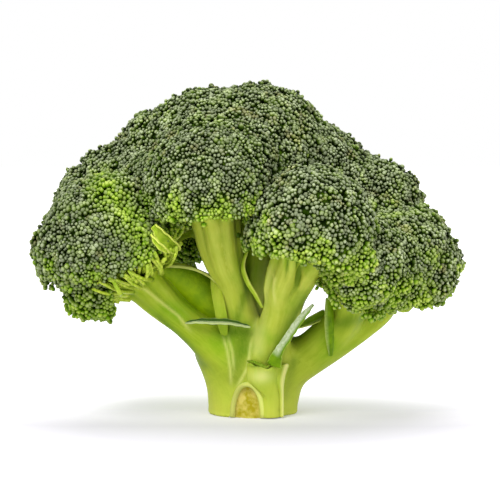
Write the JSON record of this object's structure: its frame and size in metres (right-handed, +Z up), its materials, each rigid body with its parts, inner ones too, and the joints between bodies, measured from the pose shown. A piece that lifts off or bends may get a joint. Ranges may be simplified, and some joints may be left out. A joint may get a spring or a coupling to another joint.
{
  "type": "broccoli head",
  "caption": "Fresh head of broccoli standing on its cut stem, with a forked pale green stalk, domed dark green bud crowns and small leaf remnants",
  "frame": {"origin": "centre of the flat cut face of the stem, on the plane the head stands on", "axes": "+Z up along the stalk, -Y towards the side with the leaf scar, +X along the head's width"},
  "size_m": [0.1656, 0.1288, 0.1299],
  "materials": {
    "stalk_green": "waxy",
    "branch_green": "waxy",
    "bud_green": "granular matt",
    "leaf_green": "waxy",
    "leaf_silver": "waxy bloom",
    "leaf_base_green": "waxy",
    "scar_pale": "matt"
  },
  "bodies": {
    "root": {"bract_centre": "leaf_green", "bract_fork": "leaf_green", "bract_left": "leaf_green", "bract_right": "leaf_green", "branch_back_centre": "branch_green", "branch_back_left": "branch_green", "branch_back_right": "branch_green", "branch_centre": "branch_green", "branch_far_right": "branch_green", "branch_front": "branch_green", "branch_left": "branch_green", "branch_lower_right": "branch_green", "branch_right": "branch_green", "branch_top": "branch_green", "branch_top_left": "branch_green", "branch_top_right": "branch_green", "branch_upper_left": "branch_green", "branch_upper_right": "branch_green", "crown_back_centre": "bud_green", "crown_back_left": "bud_green", "crown_back_right": "bud_green", "crown_centre": "bud_green", "crown_far_right": "bud_green", "crown_front": "bud_green", "crown_left": "bud_green", "crown_lower_right": "bud_green", "crown_right": "bud_green", "crown_top": "bud_green", "crown_top_left": "bud_green", "crown_top_right": "bud_green", "crown_upper_left": "bud_green", "crown_upper_right": "bud_green", "leader": "stalk_green", "leaf_base": "leaf_base_green", "leaf_front": "leaf_silver", "leaf_right": "leaf_green", "leaf_scar": "scar_pale", "stalk": "stalk_green"}
  },
  "joints": []
}
